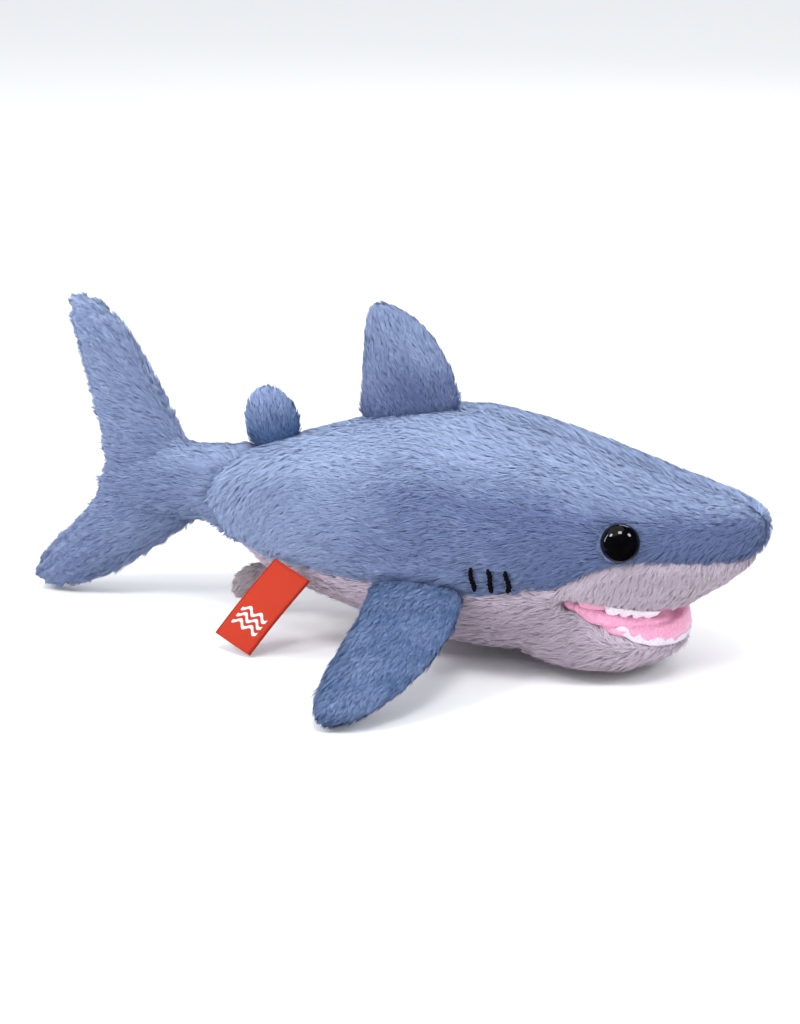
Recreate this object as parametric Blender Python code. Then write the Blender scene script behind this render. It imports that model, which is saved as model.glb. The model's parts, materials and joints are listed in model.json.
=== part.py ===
"""Plush shark: a sewn and stuffed soft toy, as separate fabric panels, stuffing, eyes, teeth and label.

The nose points along +X, the shark's left is +Y and up is +Z. The origin is under the middle of the
bounding box, on the surface that the toy rests on. Lengths below are in millimetres, and solid() turns
them into Blender's metres.
"""

import math

import bmesh
import bpy
from mathutils import Vector

MM = 0.001

# Driving dimensions
CLOTH = 2.6  # pile fabric: knitted back and flattened pile
GAP = 0.3  # clearance between neighbouring pieces
JOINT_GAP = 0.5  # clearance around the tail where it swings
ROOT_CLEARANCE = 1.2  # clearance around the root of a fin that flops
LINING_INSET = 1.5  # how far the mouth lining lies inside the lips
FELT = 0.7
REACH = 200.0  # size of a cutter that has to pass the whole toy
AROUND = 24  # sides of a body section
SECTION_POWER = 2.25  # 2 is an ellipse, more is boxier

# Body sections from the tail end to the nose: x, top, bottom, half width
BODY = (
    (-81, 36.0, 30.0, 2.4),
    (-76, 40.5, 26.5, 5.4),
    (-66, 45.0, 24.5, 8.0),
    (-56, 46.6, 24.8, 9.6),
    (-47, 46.8, 25.2, 10.8),
    (-38, 47.6, 20.4, 13.6),
    (-27, 51.5, 13.0, 18.2),
    (-14, 55.6, 9.6, 23.0),
    (0, 60.0, 6.2, 27.2),
    (15, 64.0, 2.6, 30.4),
    (30, 64.4, 1.4, 31.6),
    (44, 62.0, 1.4, 31.2),
    (56, 58.9, 4.0, 29.8),
    (67, 55.6, 11.5, 27.2),
    (78, 52.4, 16.2, 23.4),
    (87, 50.4, 19.4, 18.6),
    (94.5, 49.0, 24.2, 13.6),
    (100, 47.3, 29.4, 9.2),
    (103.6, 45.0, 34.5, 5.4),
    (105.0, 42.0, 39.0, 2.0),
)
RINGS_PER_STATION = 1

# Chin: a rounded stone shape under the snout, cut flat where it rests
CHIN_CENTRE = Vector((60, 0, 12.1))
CHIN_HALF = Vector((25.4, 25.0, 12.6))
CHIN_POWER = 2.5

# Seam between the blue back and the grey underside, seen from the side: x, z
SIDE_SEAM = (
    (-60, 26.5),
    (-47, 26.0),
    (-34, 22.8),
    (-15, 21.5),
    (10, 21.6),
    (36, 22.9),
    (47, 25.6),
    (58, 28.0),
    (67, 32.6),
    (77, 35.4),
    (90, 34.9),
    (100, 33.2),
    (112, 33.0),
)

# Mouth: it hinges on a line across the head at the corners of the lips
JAW_AXIS = Vector((60, 0, 23.2))
JAW_RELIEF = 2.2
PALATE_ANGLE = 12.7  # degrees below +X, seen from the hinge line
TONGUE_ANGLE = 19.7
JAW_BACK_ANGLE = 92.0
THROAT_ANGLE = 104.0
UPPER_LIP_START = Vector((61, 0, 25.2))
UPPER_LIP_SLOPE = -0.23
LOWER_LIP_DROP = 16.0
LOWER_LIP_LENGTH = 24.4
LOWER_LIP_POWER = 0.5  # below 1 the lip falls fastest near the corner of the mouth
SNOUT_PANEL_BACK = 58.0
TONGUE_THICKNESS = 2.3
TOOTH_BAND = 1.3
TOOTH_HEIGHT = 2.5

# Tail: swings on an upright line through the narrow part of the body
TAIL_AXIS = Vector((-47, 0, 35))
TAIL_RADIUS = 11.4

# Eye: a domed button on a stem, held by a washer behind the fabric
EYE_AT = (72.0, 40.5)
EYE_RADIUS = 4.5
EYE_HEIGHT = 3.6
EYE_SINK = 1.0
STEM_RADIUS = 1.9
STEM_LENGTH = 9.5
WASHER_RADIUS = 4.6
WASHER_DEPTH = 3.2
WASHER_THICKNESS = 1.2

# Gill stitches on each side: x of the top end
GILL_X = (35.8, 40.4, 44.9)
GILL_TOP = 31.6
GILL_BOTTOM = 24.9
GILL_RAKE = 1.2
THREAD_RADIUS = 0.55

# Label, a ribbon folded double and caught in the right side seam
LABEL_AT = (-14.4, 22.1)
LABEL_WIDTH = 11.6
LABEL_THICKNESS = 0.8
LABEL_ACROSS = Vector((10.0, -2.2, -3.9)).normalized()
LABEL_HANG = Vector((-14.9, -8.0, -18.6))
LABEL_BOW = 1.2

BLUE = (0.19, 0.25, 0.46)
GREY = (0.31, 0.26, 0.34)
PALE_GREY = (0.42, 0.36, 0.44)
DARK_GREY = (0.25, 0.2, 0.24)
PINK = (0.66, 0.27, 0.45)
FELT_WHITE = (0.68, 0.66, 0.72)
FIBRE_WHITE = (0.85, 0.85, 0.84)
BLACK = (0.01, 0.01, 0.012)
RED = (0.63, 0.036, 0.01)

SIDES = (("left", 1), ("right", -1))

# Fins: each edge is a cubic curve in the fin's own plane, from the root to the tip
UPRIGHT = (Vector((0, 0, 0)), Vector((1, 0, 0)), Vector((0, 0, 1)), Vector((0, 1, 0)))
DORSAL = {
    "lead": ((23.5, 64.4), (20.5, 79.5), (11.0, 88.8), (0.5, 88.8)),
    "trail": ((-5.5, 59.0), (-3.5, 70.0), (-6.0, 88.8), (0.5, 88.8)),
    "half": (4.8, 4.2),
}
SECOND_DORSAL = {
    "lead": ((-22.0, 53.0), (-22.3, 59.4), (-26.5, 63.7), (-31.5, 63.7)),
    "trail": ((-36.0, 48.6), (-38.5, 53.4), (-38.0, 63.7), (-31.5, 63.7)),
    "half": (3.9, 3.6),
}
ANAL_FIN = {
    "lead": ((-24.0, 11.0), (-28.5, 6.0), (-34.0, 3.4), (-38.5, 3.4)),
    "trail": ((-32.5, 15.4), (-41.0, 14.0), (-46.0, 4.5), (-38.5, 3.4)),
    "half": (3.6, 3.4),
}
PECTORAL = {
    "lead": ((33.5, 0.0), (37.5, 14.0), (26.0, 44.8), (13.5, 44.6)),
    "trail": ((10.0, 0.0), (12.0, 15.0), (2.0, 43.0), (13.5, 44.6)),
    "half": (4.7, 4.0),
}
TAIL_UPPER = {
    "lead": ((-50.0, 40.0), (-60.0, 57.0), (-71.5, 87.2), (-88.2, 86.3)),
    "trail": ((-79.5, 33.0), (-79.0, 55.0), (-93.0, 84.0), (-88.2, 86.3)),
    "half": (6.8, 4.6),
}
TAIL_LOWER = {
    "lead": ((-50.0, 25.5), (-66.0, 13.8), (-92.0, -8.6), (-104.9, 3.2)),
    "trail": ((-79.5, 35.0), (-82.0, 25.0), (-106.0, 10.0), (-104.9, 3.2)),
    "half": (6.8, 4.6),
}
FIN_STEPS = (0, 0.2, 0.4, 0.57, 0.72, 0.84, 0.93, 0.98)
FIN_AROUND = 12
TURNED_SIDES = 14
ROOT_STEPS = (80, 55, 28)  # degrees round the root, from its bottom up to the root line
PECTORAL_ROOT_Y = 30.4
PECTORAL_ROOT_Z = 23.2
PECTORAL_DROOP = 28.0


def clear_scene():
    for old in list(bpy.data.objects):
        bpy.data.objects.remove(old, do_unlink=True)


def solid(name, rings):
    """A closed solid through rings of points in millimetres, with a fan of triangles on each end."""
    shape = bmesh.new()
    loops = [[shape.verts.new(point * MM) for point in ring] for ring in rings]
    for first, second in zip(loops, loops[1:]):
        for i, corner in enumerate(first):
            before = i - 1
            shape.faces.new((first[before], corner, second[i], second[before]))
    for ring, loop in ((rings[0], loops[0]), (rings[-1], loops[-1])):
        middle = shape.verts.new(sum(ring, Vector()) / len(ring) * MM)
        for i, corner in enumerate(loop):
            shape.faces.new((loop[i - 1], corner, middle))
    bmesh.ops.triangulate(shape, faces=shape.faces)
    bmesh.ops.recalc_face_normals(shape, faces=shape.faces)
    mesh = bpy.data.meshes.new(name)
    shape.to_mesh(mesh)
    shape.free()
    made = bpy.data.objects.new(name, mesh)
    bpy.context.scene.collection.objects.link(made)
    return made


def boolean(target, operation, *cutters):
    """Cuts target with each cutter in turn and removes the cutters."""
    for cutter in cutters:
        modifier = target.modifiers.new("cut", "BOOLEAN")
        modifier.operation = operation
        modifier.solver = "EXACT"
        modifier.object = cutter
        evaluated = target.evaluated_get(bpy.context.evaluated_depsgraph_get())
        result = bpy.data.meshes.new_from_object(evaluated)
        target.modifiers.clear()
        target.data = result
        bpy.data.objects.remove(cutter, do_unlink=True)
    return target


def prism(outline, low, high, upright):
    """A solid from an outline: (x, y) drawn upwards in Z if upright, else (x, z) drawn across in Y."""
    if upright:
        rings = [[Vector((x, y, level)) for x, y in outline] for level in (low, high)]
    else:
        rings = [[Vector((x, level, z)) for x, z in outline] for level in (low, high)]
    return solid("cutter", rings)


def side_prism(outline):
    return prism(outline, -REACH, REACH, upright=False)


def spline(points, steps):
    """A smooth curve through the points, with the given number of steps from each point to the next."""
    points = [Vector(point) for point in points]
    ends = [2 * points[0] - points[1], *points, 2 * points[-1] - points[-2]]
    curve = []
    for before, start, end, after in zip(ends, ends[1:], ends[2:], ends[3:]):
        for step in range(steps):
            t = step / steps
            curve.append(
                0.5
                * (
                    2 * start
                    + (end - before) * t
                    + (2 * before - 5 * start + 4 * end - after) * t**2
                    + (3 * (start - end) + after - before) * t**3
                )
            )
    curve.append(points[-1])
    return curve


def bezier(controls, t):
    a, b, c, d = (Vector(point) for point in controls)
    s = 1 - t
    return a * s**3 + b * (3 * s**2 * t) + c * (3 * s * t**2) + d * t**3


def power(value, exponent):
    return math.copysign(abs(value) ** exponent, value)


def body_sections():
    stations = [Vector(station) for station in BODY]
    return spline(stations, RINGS_PER_STATION)


def section_at(x):
    """Top, bottom and half width of the body at x."""
    sections = body_sections()
    for first, second in zip(sections, sections[1:]):
        if first[0] <= x <= second[0]:
            return first.lerp(second, (x - first[0]) / (second[0] - first[0])).yzw
    raise ValueError("x is outside the body")


def side_point(x, z):
    """The point on the left side of the body at this x and height."""
    top, bottom, half_width = section_at(x)
    height = abs(2 * z - top - bottom) / (top - bottom)
    return Vector((x, half_width * (1 - height**SECTION_POWER) ** (1 / SECTION_POWER), z))


def side_normal(x, z):
    step = 1.0
    along = side_point(x + step, z) - side_point(x - step, z)
    upward = side_point(x, z + step) - side_point(x, z - step)
    return upward.cross(along).normalized()


def mirrored(point, side):
    return Vector((point[0], point[1] * side, point[2]))


def body_solid(inset):
    rings = []
    for x, top, bottom, half_width in body_sections():
        half_height = (top - bottom) / 2 - inset
        width = half_width - inset
        if min(half_height, width) < 0.5:
            continue
        ring = []
        for i in range(AROUND):
            turn = math.tau * i / AROUND
            across = width * power(math.cos(turn), 2 / SECTION_POWER)
            rise = half_height * power(math.sin(turn), 2 / SECTION_POWER)
            ring.append(Vector((x, across, (top + bottom) / 2 + rise)))
        rings.append(ring)
    return solid("body", rings)


def chin_solid(inset):
    half = CHIN_HALF - Vector((inset, inset, inset))
    rings = []
    for latitude in range(-76, 77, 19):
        level = power(math.sin(math.radians(latitude)), 2 / CHIN_POWER)
        spread = math.cos(math.radians(latitude)) ** (2 / CHIN_POWER)
        ring = []
        for i in range(AROUND):
            turn = math.tau * (i + 0.5) / AROUND
            offset = Vector((half.x * spread * math.cos(turn), half.y * spread * math.sin(turn), half.z * level))
            ring.append(CHIN_CENTRE + offset)
        rings.append(ring)
    return solid("chin", rings)


def fin_solid(spec, frame, inset, rounded_root):
    """A fin with oval sections between its two edge curves, thinning to a round tip."""
    origin, along, span, normal = frame
    half_root, half_tip = spec["half"]
    rings = []

    def add_ring(lead, trail, chord, thickness, push):
        centre = (lead + trail) / 2
        chord_way = (lead - trail).normalized()
        ring = []
        for i in range(FIN_AROUND):
            turn = math.tau * (i + 0.5) / FIN_AROUND
            flat = centre + chord_way * (chord * math.cos(turn)) + push
            ring.append(
                origin + along * flat.x + span * flat.y + normal * (thickness * math.sin(turn))
            )
        rings.append(ring)

    lead, trail = Vector(spec["lead"][0]), Vector(spec["trail"][0])
    if rounded_root:
        chord = (lead - trail).length / 2 - inset
        inward = (lead - trail).orthogonal().normalized()
        if inward.dot(Vector(spec["lead"][3]) - lead) > 0:
            inward = -inward
        for angle in ROOT_STEPS:
            shrink = math.cos(math.radians(angle))
            depth = (half_root - inset) * math.sin(math.radians(angle))
            add_ring(lead, trail, chord * shrink, (half_root - inset) * shrink, inward * depth)
    for t in FIN_STEPS:
        lead, trail = bezier(spec["lead"], t), bezier(spec["trail"], t)
        chord = (lead - trail).length / 2 - inset
        thickness = (half_root + (half_tip - half_root) * t) * math.sqrt(1 - t**6) - inset
        if min(chord, thickness) < 0.25:
            break
        add_ring(lead, trail, chord, thickness, Vector((0, 0)))
    return solid("fin", rings)


def root_socket(spec, frame):
    """The hollow that a fin's rounded root turns in."""
    origin, along, span, _ = frame
    lead, trail = Vector(spec["lead"][0]), Vector(spec["trail"][0])
    axis = (along * (lead - trail).x + span * (lead - trail).y).normalized()
    middle = (lead + trail) / 2
    centre = origin + along * middle.x + span * middle.y
    long_half = (lead - trail).length / 2 + ROOT_CLEARANCE
    radius = spec["half"][0] + ROOT_CLEARANCE
    first = axis.orthogonal().normalized()
    second = axis.cross(first)
    rings = []
    for latitude in range(-75, 76, 25):
        spread = radius * math.sqrt(math.cos(math.radians(latitude)))
        middle = centre + axis * (long_half * math.sin(math.radians(latitude)))
        ring = []
        for i in range(FIN_AROUND):
            turn = math.tau * i / FIN_AROUND
            ring.append(middle + (first * math.cos(turn) + second * math.sin(turn)) * spread)
        rings.append(ring)
    return solid("socket", rings)


def half_space(frame, side):
    """Everything on one side of a fin's middle plane, less half a gap."""
    origin, along, span, normal = frame
    corners = ((-1, -1), (1, -1), (1, 1), (-1, 1))
    rings = []
    for height in (GAP / 2, REACH):
        rings.append(
            [origin + (along * u + span * v) * REACH + normal * (side * height) for u, v in corners]
        )
    return solid("half", rings)


def whole_body(inset):
    """Head, trunk and chin in one solid, flat where it meets the floor."""
    shape = boolean(body_solid(inset), "UNION", chin_solid(inset))
    return boolean(shape, "DIFFERENCE", floor_cutter())


def whole_tail(inset):
    upper = fin_solid(TAIL_UPPER, UPRIGHT, inset, rounded_root=False)
    lower = fin_solid(TAIL_LOWER, UPRIGHT, inset, rounded_root=False)
    shape = boolean(body_solid(inset), "UNION", upper, lower)
    return boolean(shape, "DIFFERENCE", floor_cutter())


def floor_cutter():
    outline = ((-REACH, -REACH), (REACH, -REACH), (REACH, REACH), (-REACH, REACH))
    return prism(outline, -REACH / 2, 0, upright=True)


def tail_space(radius):
    """Everything behind an upright round edge about the tail's axis."""
    outline = [(-REACH, -REACH), (TAIL_AXIS.x, -REACH)]
    for i in range(25):
        turn = math.pi * (i / 24 - 0.5)
        outline.append((TAIL_AXIS.x + radius * math.cos(turn), radius * math.sin(turn)))
    outline += [(TAIL_AXIS.x, REACH), (-REACH, REACH)]
    return prism(outline, -REACH, REACH, upright=True)


def from_hinge(angle, distance):
    """The point seen from the jaw's hinge line at this angle below +X."""
    turn = math.radians(angle)
    return (JAW_AXIS.x + distance * math.cos(turn), JAW_AXIS.z - distance * math.sin(turn))


def jaw_space():
    """What the head and trunk leave free for the jaw: a wedge, and a round relief at the hinge line."""
    outline = [from_hinge(PALATE_ANGLE, REACH), from_hinge(THROAT_ANGLE, REACH)]
    steps = 12
    for i in range(steps + 1):
        angle = THROAT_ANGLE + (360 + PALATE_ANGLE - THROAT_ANGLE) * i / steps
        outline.append(from_hinge(angle, JAW_RELIEF))
    return side_prism(outline)


def jaw_wedge(drop=0.0):
    """The wedge that the jaw fills, its upper face lowered by drop."""
    outline = []
    steps = 6
    for i in range(steps + 1):
        angle = JAW_BACK_ANGLE + (TONGUE_ANGLE - JAW_BACK_ANGLE) * i / steps
        outline.append(from_hinge(angle, JAW_RELIEF + drop))
    outline += [from_hinge(TONGUE_ANGLE, REACH), from_hinge(JAW_BACK_ANGLE, REACH)]
    slope = math.radians(TONGUE_ANGLE)
    shift = (-drop * math.sin(slope), -drop * math.cos(slope))
    return side_prism([(x + shift[0], z + shift[1]) for x, z in outline])


def upper_lip(x):
    return UPPER_LIP_START.z + UPPER_LIP_SLOPE * (x - UPPER_LIP_START.x)


def lower_lip(x):
    share = max(0.0, x - UPPER_LIP_START.x) / LOWER_LIP_LENGTH
    return UPPER_LIP_START.z - LOWER_LIP_DROP * share**LOWER_LIP_POWER


def past_line(line, far):
    """Everything above a line of (x, z) points drawn forwards, or below it if far is negative."""
    start, end = line[0][1], line[-1][1]
    return side_prism([(-REACH, start), *line, (REACH, end), (REACH, far), (-REACH, far)])


def below_upper_lip(drop, start):
    """Everything under the upper lip's line and forward of start."""
    top = [(start, upper_lip(start) - drop), (REACH, upper_lip(REACH) - drop)]
    return side_prism([*top, (REACH, -REACH), (start, -REACH)])


def above_upper_lip(drop):
    return past_line([(x, upper_lip(x) - drop) for x in (JAW_AXIS.x, REACH / 2)], REACH)


def lower_lip_line(rise):
    return [(x, lower_lip(x) + rise) for x in (61, 61.6, 63, 66, 70, 75, 80, 86, 92)]


def above_lower_lip(rise):
    return past_line(lower_lip_line(rise), REACH)


def below_lower_lip(rise):
    return past_line(lower_lip_line(rise), -REACH)


def above_side_seam(rise):
    return past_line([(point.x, point.y + rise) for point in spline(SIDE_SEAM, 3)], REACH)


def behind(x):
    return side_prism([(-REACH, -REACH), (x, -REACH), (x, REACH), (-REACH, REACH)])


def turned(name, base, axis, profile):
    """A round solid about an axis: profile is a list of (distance along the axis, radius)."""
    first = axis.orthogonal().normalized()
    second = axis.cross(first)
    rings = []
    for distance, radius in profile:
        ring = []
        for i in range(TURNED_SIDES):
            turn = math.tau * i / TURNED_SIDES
            ring.append(base + axis * distance + (first * math.cos(turn) + second * math.sin(turn)) * radius)
        rings.append(ring)
    return solid(name, rings)


def eye_frame(side):
    base = mirrored(side_point(*EYE_AT), side)
    axis = mirrored(side_normal(*EYE_AT), side)
    return base, axis


def eye_button(name, side):
    base, axis = eye_frame(side)
    profile = [(-STEM_LENGTH, STEM_RADIUS), (-EYE_SINK - 0.1, STEM_RADIUS), (-EYE_SINK, EYE_RADIUS * 0.96)]
    for degrees in range(0, 81, 16):
        turn = math.radians(degrees)
        height = -EYE_SINK + 0.5 + EYE_HEIGHT * math.sin(turn)
        profile.append((height, EYE_RADIUS * math.cos(turn)))
    return turned(name, base, axis, profile)


def eye_washer(name, side):
    base, axis = eye_frame(side)
    start, end = -WASHER_DEPTH - WASHER_THICKNESS, -WASHER_DEPTH
    ring = turned(name, base, axis, [(start, WASHER_RADIUS), (end, WASHER_RADIUS)])
    hole = turned("hole", base, axis, [(start - 1, STEM_RADIUS + GAP), (end + 1, STEM_RADIUS + GAP)])
    return boolean(ring, "DIFFERENCE", hole)


def eye_socket(side):
    """The dent, stem hole and washer seat that an eye needs in the back panel."""
    base, axis = eye_frame(side)
    dent, seat, deep = -EYE_SINK - GAP, -WASHER_DEPTH + GAP, -WASHER_DEPTH - 3
    hole, dome, washer = STEM_RADIUS + GAP, EYE_RADIUS + GAP, WASHER_RADIUS + GAP
    profile = [(deep, washer), (seat, washer), (seat, hole), (dent, hole), (dent, dome), (6, dome)]
    return turned("socket", base, axis, profile)


def eye_pocket(side):
    """The room that the stem and washer take in the stuffing."""
    base, axis = eye_frame(side)
    deep = -WASHER_DEPTH - WASHER_THICKNESS - GAP
    narrow, wide = STEM_RADIUS + GAP, WASHER_RADIUS + GAP
    return turned("pocket", base, axis, [(-STEM_LENGTH - GAP, narrow), (deep, narrow), (deep, wide), (6, wide)])


def gill_stitch(name, x, side):
    """A line of thread laid on the fabric."""
    rings = []
    steps = 5
    for i in range(steps + 1):
        share = i / steps
        z = GILL_TOP + (GILL_BOTTOM - GILL_TOP) * share
        at = x + GILL_RAKE * share
        lift = THREAD_RADIUS + GAP
        centre = mirrored(side_point(at, z) + side_normal(at, z) * lift, side)
        ring = []
        for corner in range(8):
            turn = math.tau * corner / 8
            offset = Vector((math.cos(turn), math.sin(turn), 0)) * THREAD_RADIUS
            ring.append(centre + offset)
        rings.append(ring)
    return solid(name, rings)


def tooth_crown(first, last, count, root_height, point_height):
    """A zigzag fence round the front of the mouth, between two angles from +X, seen from above."""
    inner, outer = 8.0, 45.0
    rings = []
    for i in range(2 * count + 1):
        turn = math.radians(first + (last - first) * i / (2 * count))
        x = CHIN_CENTRE.x + CHIN_HALF.x * math.cos(turn)
        tip = point_height if i % 2 else root_height + math.copysign(TOOTH_BAND, point_height)
        edge = lower_lip(x) if point_height > 0 else upper_lip(x)
        buried = -3.0 if point_height > 0 else 3.0
        ring = []
        for radius, height in ((inner, buried), (outer, buried), (outer, tip), (inner, tip)):
            ring.append(
                Vector(
                    (
                        CHIN_CENTRE.x + radius * math.cos(turn),
                        radius * math.sin(turn),
                        edge + height,
                    )
                )
            )
        rings.append(ring)
    return solid("crown", rings)


def tooth_strip(name, crown, keep_out):
    """The part of the crown that lies in a thin felt layer just inside the outer surface."""
    strip = whole_body(0)
    strip.name = name
    boolean(strip, "DIFFERENCE", whole_body(FELT))
    boolean(strip, "INTERSECT", crown)
    return boolean(strip, "DIFFERENCE", keep_out)


def label_solid(name):
    start = label_top()
    out = LABEL_ACROSS.cross(LABEL_HANG).normalized()
    rings = []
    steps = 6
    for i in range(steps + 1):
        share = i / steps
        centre = start + LABEL_HANG * share - out * (LABEL_BOW * math.sin(math.pi * share))
        half = LABEL_ACROSS * (LABEL_WIDTH / 2)
        thick = out * (LABEL_THICKNESS / 2)
        rings.append([centre - half - thick, centre + half - thick, centre + half + thick, centre - half + thick])
    return solid(name, rings)


def label_top():
    """The middle of the label's sewn edge, just clear of the right side of the body."""
    surface = side_point(*LABEL_AT)
    return mirrored(surface + side_normal(*LABEL_AT) * (LABEL_THICKNESS + 0.4), -1)


def pectoral_frame(side):
    droop = math.radians(PECTORAL_DROOP)
    origin = Vector((0, side * PECTORAL_ROOT_Y, PECTORAL_ROOT_Z))
    span = Vector((0, side * math.cos(droop), -math.sin(droop)))
    normal = Vector((0, side * math.sin(droop), math.cos(droop)))
    return origin, Vector((1, 0, 0)), span, normal


def fin_pivot(spec, frame):
    origin, along, span, _ = frame
    middle = (Vector(spec["lead"][0]) + Vector(spec["trail"][0])) / 2
    return origin + along * middle.x + span * middle.y


def finish(made, name, colour, roughness, pivot=None):
    """Names a piece, gives it its material and hangs it on the empty of its joint."""
    made.name = name
    made.data.name = name
    material = bpy.data.materials.new(name)
    material.use_nodes = True
    shader = material.node_tree.nodes["Principled BSDF"]
    shader.inputs["Base Color"].default_value = (*colour, 1)
    shader.inputs["Roughness"].default_value = roughness
    shader.inputs["Metallic"].default_value = 0
    made.data.materials.clear()
    made.data.materials.append(material)
    made.data.shade_smooth()
    made.data.set_sharp_from_angle(angle=math.radians(40))
    if pivot:
        made.parent = pivot
        made.matrix_parent_inverse.translation = -pivot.location
    return made


def pivot_empty(name, place):
    empty = bpy.data.objects.new(name, None)
    empty.location = place * MM
    bpy.context.scene.collection.objects.link(empty)
    return empty


def fin_sockets():
    sockets = [root_socket(spec, UPRIGHT) for spec in (DORSAL, SECOND_DORSAL, ANAL_FIN)]
    sockets += [root_socket(PECTORAL, pectoral_frame(side)) for _, side in SIDES]
    return sockets


def clear_for_joints(piece):
    """Takes from a piece of the trunk the room that the tail, jaw and fins move in."""
    return boolean(piece, "DIFFERENCE", tail_space(TAIL_RADIUS + JOINT_GAP), jaw_space(), *fin_sockets())


def build_back_panels():
    for word, side in SIDES:
        panel = boolean(whole_body(0), "INTERSECT", above_side_seam(GAP / 2), half_space(UPRIGHT, side))
        boolean(panel, "DIFFERENCE", whole_body(CLOTH))
        clear_for_joints(panel)
        boolean(panel, "DIFFERENCE", eye_socket(side))
        finish(panel, "back_panel_" + word, BLUE, 0.9)


def build_belly_panel():
    panel = boolean(whole_body(0), "INTERSECT", behind(SNOUT_PANEL_BACK))
    boolean(panel, "DIFFERENCE", above_side_seam(-GAP / 2), whole_body(CLOTH))
    finish(clear_for_joints(panel), "belly_panel", GREY, 0.9)


def build_snout_panel():
    panel = boolean(
        whole_body(0),
        "DIFFERENCE",
        above_side_seam(-GAP / 2),
        behind(SNOUT_PANEL_BACK + GAP),
        below_upper_lip(0, SNOUT_PANEL_BACK),
        whole_body(CLOTH),
        jaw_space(),
    )
    finish(panel, "snout_panel", PALE_GREY, 0.9)


def build_palate_lining():
    start = JAW_AXIS.x + JAW_RELIEF
    lining = boolean(whole_body(LINING_INSET), "INTERSECT", below_upper_lip(GAP, start))
    finish(boolean(lining, "DIFFERENCE", jaw_space()), "palate_lining", PINK, 0.85)


def build_body_stuffing():
    stuffing = boolean(whole_body(CLOTH + GAP), "DIFFERENCE", below_upper_lip(-GAP, SNOUT_PANEL_BACK))
    clear_for_joints(stuffing)
    boolean(stuffing, "DIFFERENCE", *(eye_pocket(side) for _, side in SIDES))
    finish(stuffing, "body_stuffing", FIBRE_WHITE, 1.0)


def build_jaw(pivot):
    panel = boolean(whole_body(0), "INTERSECT", jaw_wedge())
    boolean(panel, "DIFFERENCE", above_lower_lip(-GAP), whole_body(CLOTH))
    finish(panel, "lower_jaw_panel", GREY, 0.9, pivot)

    lining = boolean(whole_body(LINING_INSET), "INTERSECT", jaw_wedge(), above_lower_lip(0))
    core = boolean(whole_body(CLOTH), "INTERSECT", jaw_wedge(TONGUE_THICKNESS))
    finish(boolean(lining, "DIFFERENCE", core), "tongue_lining", PINK, 0.85, pivot)

    stuffing = boolean(
        whole_body(CLOTH + GAP), "INTERSECT", jaw_wedge(TONGUE_THICKNESS + GAP), jaw_wedge()
    )
    finish(stuffing, "jaw_stuffing", FIBRE_WHITE, 1.0, pivot)

    crown = tooth_crown(-66, 66, 11, 0.0, TOOTH_HEIGHT)
    teeth = tooth_strip("lower_teeth", crown, below_lower_lip(GAP))
    finish(teeth, "lower_teeth", FELT_WHITE, 0.9, pivot)


def build_upper_teeth():
    for word, side in SIDES:
        crown = tooth_crown(side * 34, side * 70, 4, 0.0, -TOOTH_HEIGHT)
        teeth = tooth_strip("upper_teeth", crown, above_upper_lip(GAP))
        finish(teeth, "upper_teeth_" + word, FELT_WHITE, 0.9)


def build_eyes():
    for word, side in SIDES:
        finish(eye_button("eye", side), "eye_" + word, BLACK, 0.05)
        finish(eye_washer("washer", side), "eye_washer_" + word, FIBRE_WHITE, 0.4)


def build_gills():
    for word, side in SIDES:
        for number, x in enumerate(GILL_X, start=1):
            finish(gill_stitch("stitch", x, side), f"gill_stitch_{word}_{number}", BLACK, 0.8)


def build_tail(pivot):
    for word, side in SIDES:
        panel = boolean(whole_tail(0), "INTERSECT", tail_space(TAIL_RADIUS), half_space(UPRIGHT, side))
        boolean(panel, "DIFFERENCE", whole_tail(CLOTH))
        finish(panel, "tail_panel_" + word, BLUE, 0.9, pivot)
    stuffing = boolean(whole_tail(CLOTH + GAP), "INTERSECT", tail_space(TAIL_RADIUS))
    finish(stuffing, "tail_stuffing", FIBRE_WHITE, 1.0, pivot)


def build_fin(name, spec, frame, colour, faces, pivot):
    """Two fabric faces sewn edge to edge over a thin fill; faces names them with their side."""
    for word, side in faces:
        panel = boolean(fin_solid(spec, frame, 0, True), "INTERSECT", half_space(frame, side))
        boolean(panel, "DIFFERENCE", fin_solid(spec, frame, CLOTH, True))
        finish(panel, f"{name}_panel_{word}", colour, 0.9, pivot)
    finish(fin_solid(spec, frame, CLOTH + GAP, True), name + "_stuffing", FIBRE_WHITE, 1.0, pivot)


def build_fins():
    for name, spec, colour in (
        ("dorsal", DORSAL, BLUE),
        ("second_dorsal", SECOND_DORSAL, BLUE),
        ("anal_fin", ANAL_FIN, DARK_GREY),
    ):
        pivot = pivot_empty(name + "_root", fin_pivot(spec, UPRIGHT))
        build_fin(name, spec, UPRIGHT, colour, SIDES, pivot)
    for word, side in SIDES:
        frame = pectoral_frame(side)
        pivot = pivot_empty(f"pectoral_{word}_root", fin_pivot(PECTORAL, frame))
        build_fin("pectoral_" + word, PECTORAL, frame, BLUE, (("upper", 1), ("lower", -1)), pivot)


def main():
    clear_scene()
    build_body_stuffing()
    build_back_panels()
    build_belly_panel()
    build_snout_panel()
    build_palate_lining()
    build_upper_teeth()
    build_jaw(pivot_empty("jaw_hinge", JAW_AXIS))
    build_eyes()
    build_gills()
    build_tail(pivot_empty("tail_hinge", TAIL_AXIS))
    build_fins()
    label_pivot = pivot_empty("label_edge", label_top())
    finish(label_solid("label"), "label", RED, 0.6, label_pivot)


main()
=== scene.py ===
"""The looks of the plush shark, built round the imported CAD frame.

The cloth skins are remeshed from the CAD panels, inflated between their seams by a cloth simulation, and
carry a real pile: some 360,000 tapering strands of mesh, laid along the nap and gathered in locks.
The frame is in metres: +X to the nose, +Y to the shark's left, +Z up. MM turns millimetres into metres.
"""

import json
import math
from collections import namedtuple

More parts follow.
